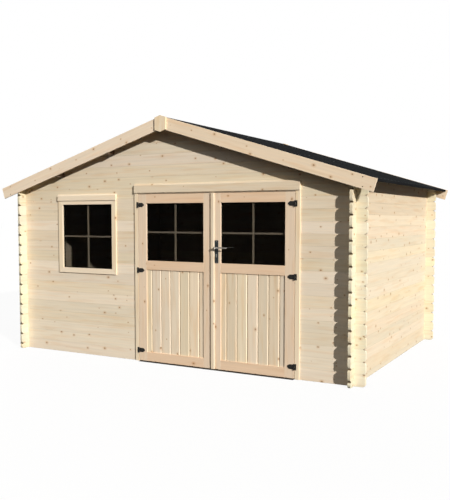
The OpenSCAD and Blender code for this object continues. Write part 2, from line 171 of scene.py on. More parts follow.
class ShedSizes(bpy.types.PropertyGroup):
    """Sizes of the pieces that are added to the solids."""

    arris: length("Arris", "Width of the planed-off edges of logs, frames and doors", 0.001)
    iron_arris: length("Iron arris", "Width of the eased edges of hinges and plates", 0.0006)
    roof_pitch: angle("Roof pitch", "Slope of the roof", 17.1)
    roof_board_t: length("Roof board", "Thickness of a roof board", 0.019)
    roof_board_w: length("Roof board width", "Greatest width of a roof board", 0.097)
    roof_groove: length("Roof groove", "Width of the bevel on the lower edges of a roof board", 0.004)
    felt_t: length("Felt", "Thickness of one layer of roofing felt", 0.0014)
    felt_fold: length("Felt fold", "Depth of the felt that is folded down at the eaves", 0.022)
    felt_gap: length("Felt gap", "Reach of the folded felt past the roof boards", 0.003)
    felt_roll: length("Felt roll", "Width of a roll of felt", 1.0)
    felt_lap: length("Felt lap", "Width of the lap between two strips of felt", 0.08)
    ridge_felt: length("Ridge felt", "Width of the ridge strip on each slope", 0.2)
    clout_r: length("Clout nail", "Radius of the head of a felt nail", 0.005)
    clout_pitch: length("Clout pitch", "Distance between felt nails", 0.12)
    clout_inset: length("Clout inset", "Distance of the felt nails from the edge of the felt", 0.03)
    board_w: length("Door board", "Width of a board in the doors", 0.114)
    board_groove: length("Door groove", "Width of the bevel beside a board in the doors", 0.009)
    bar_w: length("Glazing bar", "Width of a glazing bar", 0.017)
    bar_t: length("Glazing bar depth", "Depth of a glazing bar", 0.012)
    bead_w: length("Bead", "Width of a glazing bead", 0.005)
    fit: length("Fit", "Gap left between two fitted pieces", 0.0003)
    screw_r: length("Screw head", "Radius of a screw head in the barge boards", 0.0048)
    iron_screw_r: length("Iron screw head", "Radius of a screw head in the hinges and lock plates", 0.0032)
    key_plug_r: length("Key plug", "Radius of the plug in the lock cylinder", 0.006)
    keyway_w: length("Keyway", "Width of the keyway", 0.0016)
    keyway_h: length("Keyway height", "Height of the keyway", 0.0075)


class ShedColours(bpy.types.PropertyGroup):
    """Colours of the finishes."""

    logs: colour("Logs", "Planed pine of the front and rear logs", (0.800, 0.683, 0.512))
    # A darker copy of the log pine for both side walls, painted shade against the stronger sun on the side
    side_logs_painted_shade: colour("Side logs", "Planed pine of the side logs", (0.719, 0.610, 0.445))
    trim: colour("Trim", "Planed pine of frames and barge boards", (0.838, 0.700, 0.512))
    cover: colour("Cover boards", "Board over the doors and cover strip", (0.744, 0.638, 0.471))
    stiles: colour("Stiles", "Planed pine of the doors' stiles", (0.791, 0.622, 0.446))
    rails: colour("Rails", "Planed pine of the doors' rails", (0.787, 0.547, 0.365))
    door_boards: colour("Door boards", "Planed pine of the boards in the doors", (0.778, 0.659, 0.489))
    # The roof boards' dark brown is painted shade under the eaves, and the purlins take it too
    roof_boards: colour("Roof boards", "Rougher pine of the roof boards and purlins", (0.15, 0.105, 0.068))
    knot: colour("Knots", "Heart of a knot", (0.27, 0.140, 0.060))
    felt: colour("Felt", "Mineral face of the roofing felt", (0.0150, 0.0160, 0.0172))
    iron: colour("Iron", "Black coating of the hinges", (0.011, 0.0105, 0.0095))
    plate: colour("Lock plate", "Dark coating of the lock plates", (0.026, 0.032, 0.034))
    steel: colour("Satin steel", "Lever and lock cylinder", (0.24, 0.23, 0.21))
    nail: colour("Nails", "Galvanised felt nails", (0.10, 0.105, 0.11))
    screw: colour("Screws", "Browned screws in the barge boards", (0.05, 0.035, 0.022))
    # The panes' near-black tint is painted shade of the unlit inside
    glass: colour("Glass", "Tint of the panes", (0.0026, 0.0024, 0.0020))


class ShedStage(bpy.types.PropertyGroup):
    """Camera, light and floor."""

    camera: triple("Camera", "Place of the camera", (3.925, -7.310, 1.520), subtype="TRANSLATION")
    heading: angle("Heading", "Turn of the camera from straight on", 28.81)
    dip: angle("Dip", "Fall of the camera's view", 3.916)
    lens: number("Lens", "Focal length on a 36 mm frame", 49.74, subtype="DISTANCE_CAMERA")
    rise: number("Rise", "Shift of the frame above the camera's axis, by its height", 0.0287)
    sun: direction("Sun", "Direction towards the sun", (0.802, -0.498, 0.330))
    sun_strength: power("Sun strength", "Strength of the sun", 4.35)
    sun_width: angle("Sun width", "Angle that the sun fills", 1.2)
    sun_tint: colour("Sun tint", "Colour of the sun", (1.0, 0.98, 0.95))
    back: direction("Back light", "Direction towards the back light", (-0.55, 0.80, 0.24))
    back_strength: power("Back strength", "Strength of the back light", 2.1)
    back_width: angle("Back width", "Angle that the back light fills", 60.0)
    back_tint: colour("Back tint", "Colour of the back light", (1.0, 1.0, 1.0))
    sky_strength: power("Sky strength", "Strength of the soft light overhead", 0.78)
    sky_tint: colour("Sky tint", "Colour of the soft light overhead", (1.0, 0.99, 0.965))
    floor_w: length("Floor", "Width of the floor", 160.0)
    pale: colour("Pale floor", "Floor that takes the shed's shadow", (0.8, 0.8, 0.8))
    dim: colour("Dim floor", "Floor as it throws light back on the shed", (0.025, 0.025, 0.025))
    glow: power("Glow", "Strength of the floor's white", 1.01)
    white_share: number("White share", "White in the floor", 0.9, min=0.0, max=1.0, subtype="FACTOR")
    # The ground colour also paints the shade on the floor under the doors
    ground: colour("Ground", "Bare ground in the shed", (0.065, 0.057, 0.049))


class Nodes:
    """Nodes that are added to a tree one after another."""

    def __init__(self, tree):
        self.tree = tree

    def node(self, kind, **settings):
        made = self.tree.nodes.new(kind)
        for key, value in settings.items():
            setattr(made, key, value)
        return made

    def feed(self, socket, value):
        if isinstance(value, bpy.types.NodeSocket):
            self.tree.links.new(value, socket)
        else:
            socket.default_value = value

    def feed_all(self, made, values):
        """Feeds the inputs of a node that a table names."""
        for socket, value in values.items():
            self.feed(made.inputs[socket], value)

    def fed(self, made, *values):
        """Feeds a node's first inputs and gives its first output."""
        for socket, value in zip(made.inputs, values):
            self.feed(socket, value)
        return made.outputs[0]

    def calc(self, operation, *values):
        """One step of arithmetic."""
        return self.fed(self.node("ShaderNodeMath", operation=operation), *values)

    def scaled(self, value, factor, offset=0.0):
        """A value times a factor, with an offset added."""
        return self.calc("MULTIPLY_ADD", value, factor, offset)

    def distance(self, first, second):
        """Length of the line across two square sides."""
        squares = (self.calc("POWER", side, 2.0) for side in (first, second))
        return self.calc("SQRT", self.calc("ADD", *squares))

    def within(self, value, start, end):
        """1 between two values and 0 elsewhere."""
        return self.scaled(self.calc("GREATER_THAN", value, start), self.calc("LESS_THAN", value, end))

    def step(self, value, start, end, first=0.0, last=1.0):
        """A soft step between two values."""
        made = self.node("ShaderNodeMapRange", interpolation_type="SMOOTHSTEP")
        return self.fed(made, value, start, end, first, last)

    def place(self, x, y, z):
        return self.fed(self.node("ShaderNodeCombineXYZ"), x, y, z)

    def parts(self, vector):
        made = self.node("ShaderNodeSeparateXYZ")
        self.feed(made.inputs[0], vector)
        return made.outputs

    def seen_by_eye(self):
        """1 for a ray from the camera, a reflection or a pane, and 0 for light on a surface."""
        path = self.node("ShaderNodeLightPath").outputs
        direct = self.calc("MAXIMUM", path["Is Camera Ray"], path["Is Glossy Ray"])
        return self.calc("MAXIMUM", direct, path["Is Transmission Ray"])

    def blend(self, factor, first, second):
        """Two shaders mixed."""
        return self.fed(self.node("ShaderNodeMixShader"), factor, first, second)


FINISHES = {}


class Finish(Nodes):
    """A procedural material, kept by its name."""

    def __init__(self, name):
        self.material = bpy.data.materials.new(name)
        self.material.use_nodes = True
        FINISHES[name] = self.material
        super().__init__(self.material.node_tree)
        self.shader = self.tree.nodes["Principled BSDF"]

    def noise(self, vector, scale=1.0, detail=2.0):
        made = self.node("ShaderNodeTexNoise")
        self.feed_all(made, {"Vector": vector, "Scale": scale, "Detail": detail})
        return made.outputs["Fac"]

    def mix(self, factor, first, second, blend="MIX"):
        made = self.node("ShaderNodeMix", data_type="RGBA", blend_type=blend)
        self.feed_all(made, {0: factor, 6: first, 7: second})
        return made.outputs[2]

    def surface(self, colour, roughness, specular, metallic=0.0):
        """Feeds the shader with what every finish gives."""
        self.feed_all(self.shader, {"Base Color": colour, "Roughness": roughness})
        self.feed_all(self.shader, {"Specular IOR Level": specular, "Metallic": metallic})

    def bump(self, height, strength, distance):
        made = self.node("ShaderNodeBump")
        self.feed_all(made, {"Strength": strength, "Distance": distance, "Height": height})
        self.feed(self.shader.inputs["Normal"], made.outputs[0])

    def object_place(self, turn=0.0):
        """Object coordinates, turned about the shed's depth where a pattern follows the roof."""
        spot = self.node("ShaderNodeTexCoord").outputs["Object"]
        if turn:
            turned = self.node("ShaderNodeMapping")
            turned.inputs["Rotation"].default_value = (0.0, turn, 0.0)
            self.feed(turned.inputs["Vector"], spot)
            spot = turned.outputs[0]
        return spot


def tinted(base, shade=(1.0, 1.0, 1.0)):
    """A colour with each part scaled, ready for a socket."""
    return (base[0] * shade[0], base[1] * shade[1], base[2] * shade[2], 1.0)


def pine(name, base, along, across, seed, depth=0.0, pitch=0.0, start=0.0, turn=0.0, clear=0.28, tips=0.0):
    """Planed pine: rings round a heart behind each log or board, fibres, streaks and knots.

    along and across are the axes of the grain and of the boards' width. A pitch gives every board
    its own tone, heart and knots, with boards counted from start. clear is the share of knot places
    that stay clear. Further out than tips, log ends are paler, and painted shade darkens the notches
    between them.
    Large factors on a board's three chances move its pattern away from the other boards'.
    """
    tints = bpy.context.scene.shed_colours
    make = Finish(name)
    axes = dict(zip("XYZ", make.parts(make.object_place(turn))))
    run = axes.pop(along)
    width = axes.pop(across)
    thick = axes.popitem()[1]
    board = 0.0
    middle = width
    if pitch:
        count = make.calc("DIVIDE", make.calc("SUBTRACT", width, start), pitch)
        board = make.calc("FLOOR", count)
        part = make.calc("FRACT", count)
        middle = make.scaled(make.calc("SUBTRACT", part, 0.5), pitch)
    chance = make.node("ShaderNodeTexWhiteNoise", noise_dimensions="2D")
    make.feed(chance.inputs["Vector"], make.place(board, seed, 0.0))
    one, two, three = make.parts(chance.outputs["Color"])

    # Knots: one place in each cell of a loose grid, of which some stay clear
    cell_run = 0.21
    cell_width = 0.11
    knot_r = 0.0095
    knot_spot = make.place(
        make.scaled(run, 1 / cell_run, make.scaled(one, 40.0)),
        make.scaled(width, 1 / cell_width, make.scaled(board, 5.37)),
        0.0,
    )
    cells = make.node("ShaderNodeTexVoronoi", voronoi_dimensions="2D")
    make.feed(cells.inputs["Vector"], knot_spot)
    cells.inputs["Scale"].default_value = 1.0
    off = make.node("ShaderNodeVectorMath", operation="SUBTRACT")
    off_run, off_width, _ = make.parts(make.fed(off, knot_spot, cells.outputs["Position"]))
    away = make.distance(make.scaled(off_run, cell_run * 0.75), make.scaled(off_width, cell_width))
    pick = make.parts(cells.outputs["Color"])[0]
    size = make.scaled(make.calc("SUBTRACT", pick, clear), knot_r / (1.0 - clear))
    here = make.calc("GREATER_THAN", size, knot_r * 0.18)
    reach = make.calc("DIVIDE", away, make.calc("MAXIMUM", size, 0.0005))
    heart = make.scaled(make.step(reach, 1.0, 0.62), here)
    halo = make.scaled(make.step(reach, 3.0, 0.9), here)
    swirl = make.scaled(make.scaled(make.step(reach, 4.5, 0.0), here), size)

    # Growth rings about a heart that wanders behind the board
    ring_w = 0.0052
    slow = make.noise(make.place(make.scaled(one, 30.0, run), make.scaled(board, 3.1), seed), 0.9, 1.0)
    wander = make.scaled(make.calc("SUBTRACT", slow, 0.5), 0.075)
    aside = make.calc("ADD", make.scaled(make.calc("SUBTRACT", two, 0.5), 0.09, wander), middle)
    inward = make.calc("ABSOLUTE", make.calc("SUBTRACT", thick, depth))
    rings = make.distance(aside, make.calc("ADD", inward, make.scaled(three, 0.05, 0.018)))
    rings = make.scaled(make.calc("ADD", rings, swirl), 1 / ring_w, make.scaled(one, 7.0))
    ring = make.calc("FRACT", rings)
    late = make.scaled(make.step(ring, 0.25, 0.9), make.step(ring, 1.0, 0.92))

    def drawn_out(lengthwise, crosswise, offset, detail):
        """Noise drawn out along the grain."""
        sideways = (make.scaled(side, crosswise) for side in (width, thick))
        return make.noise(make.place(make.scaled(run, lengthwise, offset), *sideways), 1.0, detail)

    fibre = drawn_out(14.0, 900.0, 0.0, 2.0)
    streak = drawn_out(2.0, 42.0, make.scaled(two, 50.0), 3.0)
    flush = drawn_out(2.4, 26.0, make.scaled(three, 60.0), 2.0)

    shown = make.scaled(late, make.step(streak, 0.35, 0.7, 0.03, 0.22))
    wood = make.mix(shown, tinted(base, (1.02, 1.02, 1.03)), tinted(base, (0.84, 0.70, 0.54)))
    wood = make.mix(make.step(flush, 0.47, 0.72, 0.0, 0.6), wood, tinted(base, (0.97, 0.86, 0.74)))
    bright = make.calc("ADD", make.scaled(streak, 0.26, 0.815), make.scaled(three, 0.13))
    toned = make.node("ShaderNodeHueSaturation")
    tone = {"Hue": make.scaled(one, 0.012, 0.494), "Saturation": make.scaled(two, 0.24, 0.88)}
    tone["Value"] = make.scaled(fibre, 0.06, make.calc("SUBTRACT", bright, 0.03))
    make.feed_all(toned, {"Color": wood, **tone})
    wood = make.mix(make.scaled(halo, 0.5), toned.outputs[0], tinted(base, (0.80, 0.60, 0.42)))
    wood = make.mix(make.scaled(heart, 0.74), wood, tinted(tints.knot))
    if pitch:
        edge = make.scaled(make.calc("MINIMUM", part, make.calc("SUBTRACT", 1.0, part)), pitch)
        joint_and_notch_shade = make.step(edge, 0.0022, 0.0, 0.0, 0.22)
        if tips:
            outside = make.calc("GREATER_THAN", make.calc("ABSOLUTE", run), tips)
            wood = make.mix(outside, wood, (1.02, 1.09, 1.09, 1.0), "MULTIPLY")
            # Painted shade in the notches: faces that turn along the log, near a seam, beyond tips
            faces = make.parts(make.node("ShaderNodeTexCoord").outputs["Normal"])["XYZ".index(along)]
            rounded = make.calc("GREATER_THAN", make.calc("ABSOLUTE", faces), 0.12)
            dust_and_notch_shade = make.scaled(rounded, make.step(edge, 0.013, 0.004, 0.0, 0.9))
            joint_and_notch_shade = make.calc("MAXIMUM", joint_and_notch_shade, make.scaled(outside, dust_and_notch_shade))
        wood = make.mix(joint_and_notch_shade, wood, tinted(base, (0.20, 0.14, 0.08)))
    make.surface(wood, make.scaled(fibre, 0.2, 0.55), 0.1)
    make.bump(make.scaled(late, 0.5, make.scaled(fibre, 0.5)), 0.22, 0.0007)


def felt_finish(name, base):
    """Roofing felt: crushed slate on bitumen, a little worn and patchy."""
    make = Finish(name)
    spot = make.object_place()
    grit = make.node("ShaderNodeTexVoronoi")
    make.feed(grit.inputs["Vector"], spot)
    grit.inputs["Scale"].default_value = 620.0
    grain = make.parts(grit.outputs["Color"])[0]
    slate = make.mix(grain, tinted(base, (0.55, 0.55, 0.55)), tinted(base, (1.6, 1.6, 1.6)))
    worn = make.step(make.noise(spot, 2.4, 4.0), 0.45, 0.75, 0.0, 0.4)
    make.surface(make.mix(worn, slate, tinted(base, (1.9, 1.8, 1.7))), make.scaled(grain, 0.1, 0.88), 0.0)
    make.bump(grit.outputs["Distance"], 0.5, 0.0012)


def glass_finish(name, base):
    """Real panes with a near-black tint that paints the shade of the unlit inside, letting the bars behind
    show.
    """
    make = Finish(name)
    dust_and_notch_shade = make.noise(make.object_place(), 6.0, 4.0)
    dusty = make.mix(make.step(dust_and_notch_shade, 0.5, 0.9), tinted(base), tinted(base, (1.8, 1.8, 1.8)))
    make.surface(dusty, make.step(dust_and_notch_shade, 0.4, 0.9, 0.02, 0.08), 0.01)
    # The alpha lays part of the near-black tint over the view through, as painted shade of the inside
    make.shader.inputs["Alpha"].default_value = 0.40


def coated_finish(name, base, roughness, metallic=0.0):
    """Painted or plated metal with a fine mottle and soft wear."""
    make = Finish(name)
    spot = make.object_place()
    mottle = make.noise(spot, 420.0, 3.0)
    wear = make.step(make.noise(spot, 45.0, 3.0), 0.4, 0.75)
    worn = make.mix(wear, tinted(base, (0.9, 0.9, 0.9)), tinted(base, (1.25, 1.22, 1.2)))
    make.surface(worn, make.scaled(mottle, 0.16, roughness - 0.08), 0.2, metallic)
    make.bump(mottle, 0.12, 0.0004)


def brushed_finish(name, base):
    """Satin steel, brushed along the lever."""
    make = Finish(name)
    x, y, z = make.parts(make.object_place())
    lines = make.noise(make.place(make.scaled(x, 60.0), make.scaled(y, 2600.0), make.scaled(z, 2600.0)))
    brushed = make.mix(lines, tinted(base, (0.88, 0.88, 0.88)), tinted(base, (1.1, 1.1, 1.1)))
    make.surface(brushed, make.scaled(lines, 0.18, 0.24), 0.5, 1.0)
    make.bump(lines, 0.08, 0.0002)


def make_finishes():
    """Makes every finish of the shed."""
    tints = bpy.context.scene.shed_colours
    sizes = bpy.context.scene.shed_sizes
    log = {"across": "Z", "pitch": COURSE}
    cross = {"along": "X", "tips": SIDE_X, **log}
    side = {"along": "Y", "start": -COURSE / 2, "tips": -WALL_Y, **log}
    middle_y = WALL_Y + LOG_T / 2
    trim = {"depth": FACE_Y, "clear": 0.75}
    pine("front_logs", tints.logs, seed=1.0, depth=middle_y, **cross)
    pine("rear_logs", tints.logs, seed=2.0, depth=-middle_y, **cross)
    pine("left_logs", tints.side_logs_painted_shade, seed=3.0, depth=-SIDE_X, **side)
    pine("right_logs", tints.side_logs_painted_shade, seed=4.0, depth=SIDE_X, **side)
    pine("left_barge", tints.trim, "X", "Z", 5.0, turn=sizes.roof_pitch)
    pine("right_barge", tints.trim, "X", "Z", 6.0, turn=-sizes.roof_pitch)
    pine("upright_trim", tints.trim, "Z", "X", 7.0, **trim)
    pine("level_trim", tints.trim, "X", "Z", 8.0, **trim)
    pine("upright_cover", tints.cover, "Z", "X", 15.0, **trim)
    pine("level_cover", tints.cover, "X", "Z", 16.0, depth=FACE_Y, clear=0.6)
    pine("stiles", tints.stiles, "Z", "X", 9.0, depth=FACE_Y, clear=0.55)
    pine("rails", tints.rails, "X", "Z", 10.0, depth=FACE_Y, clear=0.6)
    # Roof boards and purlins take the dark roof board colour, painted shade under the eaves
    pine("roof_boards", tints.roof_boards, "X", "Y", 13.0, pitch=roof_board_width(), start=-ROOF_Y)
    pine("purlins", tints.roof_boards, "Y", "Z", 14.0)
    for door, seed, clear in (("left", 11.0, 0.62), ("right", 12.0, 0.4)):
        near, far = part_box(f"{door}_door_panel")
        first = (near.x + far.x - sizes.board_w) / 2
        board = {"depth": FACE_Y, "pitch": sizes.board_w, "start": first, "clear": clear}
        pine(f"{door}_boards", tints.door_boards, "Z", "X", seed, **board)
    felt_finish("slate_felt", tints.felt)
    glass_finish("glass_with_painted_shade", tints.glass)
    coated_finish("black_iron", tints.iron, 0.42)
    # Near-black finish of the glazing beads, painted shade behind the edges of the panes
    coated_finish("black_bead_painted_shade", tints.iron, 0.7)
    coated_finish("dark_plate", tints.plate, 0.36)
    coated_finish("galvanised_nail", tints.nail, 0.55, 0.5)
    coated_finish("browned_screw", tints.screw, 0.45, 0.6)
    brushed_finish("satin_steel", tints.steel)


def roof_board_width():
    """Width of a roof board, so that whole boards fill the roof."""
    return 2 * ROOF_Y / math.ceil(2 * ROOF_Y / bpy.context.scene.shed_sizes.roof_board_w)


def only(*pieces):
    """Selects these pieces alone, the first as the active one."""
    bpy.ops.object.select_all(action="DESELECT")
    for piece in pieces:
        piece.select_set(True)
    bpy.context.view_layer.objects.active = pieces[0]


def named(piece, name):
    """A piece under its name, with its place in its mesh."""
    piece.name = name
    piece.data.name = name
    bpy.ops.object.transform_apply()
    return piece


def block(name, near, far):
    """A squared piece between two corners."""
    near, far = Vector(near), Vector(far)
    bpy.ops.object.select_all(action="DESELECT")
    bpy.ops.mesh.primitive_cube_add(size=1.0, location=(near + far) / 2)
    bpy.context.active_object.scale = far - near
    return named(bpy.context.active_object, name)


def disc(name, sides, radius, rise, **place):
    """A round disc of so many sides."""
    bpy.ops.object.select_all(action="DESELECT")
    bpy.ops.mesh.primitive_cylinder_add(vertices=sides, radius=radius, depth=rise, **place)
    return named(bpy.context.active_object, name)


@contextmanager
def editing(piece):
    """Edit mode on one piece."""
    only(piece)
    bpy.ops.object.mode_set(mode="EDIT")
    yield
    bpy.ops.object.mode_set(mode="OBJECT")


def mark(piece, mode, test):
    """Selects in the mesh the edges or faces that pass a test."""
    bpy.context.tool_settings.mesh_select_mode = (False, mode == "EDGE", mode == "FACE")
    mesh = piece.data
    for part in (*mesh.vertices, *mesh.edges, *mesh.polygons):
        part.select = False
    points = mesh.vertices
    if mode == "EDGE":
        chosen = [e for e in mesh.edges if test(points[e.vertices[0]].co, points[e.vertices[1]].co)]
    else:
        chosen = [f for f in mesh.polygons if test(f.center, f.normal)]
    if not chosen:
        raise RuntimeError(f"nothing to select on {piece.name}")
    for part in chosen:
        part.select = True
        for i in part.vertices:
            points[i].select = True
    if mode == "FACE":
        keys = {key for face in chosen for key in face.edge_keys}
        for e in mesh.edges:
            e.select = e.key in keys


def ease(piece, width, test=None, steps=1):
    """Planes off the edges that pass a test, or every sharp edge."""
    if test:
        mark(piece, "EDGE", test)
    bpy.context.tool_settings.mesh_select_mode = (False, True, False)
    with editing(piece):
        if not test:
            bpy.ops.mesh.select_all(action="DESELECT")
            bpy.ops.mesh.edges_select_sharp(sharpness=SHARP)
        bpy.ops.mesh.bevel(offset=width, segments=steps, affect="EDGES")


def extend(piece, test, move):
    """Draws the faces that pass a test out of the piece."""
    mark(piece, "FACE", test)
    with editing(piece):
        bpy.ops.mesh.extrude_region_move(TRANSFORM_OT_translate={"value": move})


def shift(piece, test, move):
    """Moves the faces that pass a test."""
    mark(piece, "FACE", test)
    with editing(piece):
        bpy.ops.transform.translate(value=move)


def cut(piece, point, normal, drop=False):
    """Cuts a piece along a plane. With drop, what lies behind the plane goes and the cut is closed."""
    with editing(piece):
        bpy.ops.mesh.select_all(action="SELECT")
        bpy.ops.mesh.bisect(plane_co=point, plane_no=normal, use_fill=drop, clear_inner=drop)


def row(piece, move, count):
    """Repeats a piece along a line, as one mesh."""
    only(piece)
    copies = piece.modifiers.new("row", "ARRAY")
    copies.use_relative_offset = False
    copies.use_constant_offset = True
    copies.constant_offset_displace = move
    copies.count = count
    bpy.ops.object.modifier_apply(modifier=copies.name)


def joined(name, pieces):
    """Several pieces as one."""
    only(*pieces)
    if len(pieces) > 1:
        bpy.ops.object.join()
    return named(pieces[0], name)


def turned(piece, turn, move):
    """Turns a piece about the shed's depth and moves it, with its place kept in its mesh."""
    only(piece)
    piece.rotation_euler = (0.0, turn, 0.0)
    piece.location = move
    bpy.ops.object.transform_apply()
    return piece


def repeated(piece, place, half_turn=False):
    """A copy of a piece with its own mesh, at another place, and turned to the rear where asked."""
    only(piece)
    bpy.ops.object.duplicate()
    copy = bpy.context.active_object
    copy.location = place
    copy.rotation_euler = (0.0, 0.0, math.pi if half_turn else 0.0)
    bpy.ops.object.transform_apply()
    return copy


def settle(piece, body, finish, slot, *nodes):
    """Gives a piece its finish, its body and the CAD nodes that it stands for."""
    piece.data.materials.clear()
    piece.data.materials.append(FINISHES[finish])
    only(piece)
    bpy.ops.object.shade_smooth_by_angle(angle=SMOOTH)
    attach(piece, body)
    if nodes:
        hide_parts(*nodes)


def dressed(node, suffix, arris, body, finish, slot):
    """A copy of a CAD node with merged corners, eased edges and a finish, in place of the plain solid."""
    only(frame["nodes"][node])
    bpy.ops.object.duplicate()
    piece = bpy.context.active_object
    piece.name = f"{node}_{suffix}"
    piece.data.name = piece.name
    piece.parent = None
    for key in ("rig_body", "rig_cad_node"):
        del piece[key]
    with editing(piece):
        bpy.ops.mesh.select_all(action="SELECT")
        bpy.ops.mesh.remove_doubles(threshold=MERGE)
        bpy.ops.mesh.dissolve_limited(angle_limit=FLAT)
    if arris:
        ease(piece, arris)
    settle(piece, body, finish, slot, node)


def slope_strip(name, side, run, depth, rise):
    """A flat block on a slope: run down it, depth along the ridge, rise above the boards' underside."""
    near = min(side * run[0], side * run[1])
    far = max(side * run[0], side * run[1])
    return block(name, (near, depth[0], rise[0]), (far, depth[1], rise[1]))


def on_roof(piece, side):
    """Lays a flat block down on its slope."""
    sizes = bpy.context.scene.shed_sizes
    ridge = high("roof_deck_right").z - sizes.roof_board_t / math.cos(sizes.roof_pitch)
    return turned(piece, side * sizes.roof_pitch, (0.0, 0.0, ridge))


def slope_length():
    """Length of the roof boards from the ridge to the eaves."""
    sizes = bpy.context.scene.shed_sizes
    reach = high("roof_deck_right").x - sizes.roof_board_t * math.sin(sizes.roof_pitch)
    return reach / math.cos(sizes.roof_pitch)


def nail_head(radius, rise):
    """A round nail head at the origin, standing up along +Z."""
    head = disc("nail", 8, radius, rise, location=(0, 0, rise / 2))
    ease(head, rise * 0.45, lambda a, b: min(a.z, b.z) > rise * 0.9)
    return head


def screw_head(radius):
    """A screw head at the origin with a sunk socket, facing -Y."""
    rise = radius * 0.45
    head = disc("screw", 12, radius, rise, location=(0, -rise / 2, 0), rotation=(math.pi / 2, 0, 0))
    mark(head, "FACE", lambda centre, normal: normal.y < -FACING)
    with editing(head):
        bpy.ops.mesh.inset(thickness=radius * 0.5)
        bpy.ops.mesh.extrude_region_move(TRANSFORM_OT_translate={"value": (0, rise * 0.7, 0)})
    ease(
        head, rise * 0.6,
        lambda a, b: max(a.y, b.y) < -rise * 0.9 and min(a.xz.length, b.xz.length) > radius * 0.9,
    )
    return head


def screws(name, body, places, finish, slot, radius, to_rear=False):
    """Screw heads at several places, as one piece."""
    head = screw_head(radius)
    heads = [repeated(head, place, to_rear) for place in places]
    bpy.data.objects.remove(head)
    settle(joined(name, heads), body, finish, slot)


def levels(node):
    """Middle heights of the separate solids that a node stacks above each other."""
    heights = sorted(point.co.z for point in frame["nodes"][node].data.vertices)
    first = heights[0]
    found = []
    for below, above in zip(heights, heights[1:] + [math.inf]):
        if above - below > STACK_GAP:
            found.append((first + below) / 2)
            first = above
    return found


def glazing(prefix, body, slot):
    """A cross of glazing bars and a ring of beads behind a pane, coloured near black as painted shade."""
    sizes = bpy.context.scene.shed_sizes
    pane = f"{prefix}_pane"
    near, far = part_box(pane)
    front = far.y + sizes.fit
    back = front + sizes.bar_t
    middle_x = (near.x + far.x) / 2
    middle_z = (near.z + far.z) / 2
    half = sizes.bar_w / 2
    bead = sizes.bead_w
    upright = ("upright_trim", slot)
    level = ("level_trim", slot)
    # The beads take the near-black finish, painted shade behind the edges of the pane
    painted_bead_shade = ("black_bead_painted_shade", "black_iron")
    for name, looks, start, end in (
        ("bar_upright", upright, (middle_x - half, near.z + bead), (middle_x + half, far.z - bead)),
        ("bar_left", level, (near.x + bead, middle_z - half), (middle_x - half, middle_z + half)),
        ("bar_right", level, (middle_x + half, middle_z - half), (far.x - bead, middle_z + half)),
        ("bead_left", painted_bead_shade, (near.x, near.z), (near.x + bead, far.z)),
        ("bead_right", painted_bead_shade, (far.x - bead, near.z), (far.x, far.z)),
        ("bead_low", painted_bead_shade, (near.x + bead, near.z), (far.x - bead, near.z + bead)),
        ("bead_top", painted_bead_shade, (near.x + bead, far.z - bead), (far.x - bead, far.z)),
    ):
        piece = block(f"{prefix}_{name}", (start[0], front, start[1]), (end[0], back, end[1]))
        ease(piece, sizes.bar_t * 0.35, lambda a, b: min(a.y, b.y) > back - sizes.fit, 2)
        settle(piece, body, *looks)
    node = frame["nodes"][pane]
    node.data.materials.clear()
    node.data.materials.append(FINISHES["glass_with_painted_shade"])


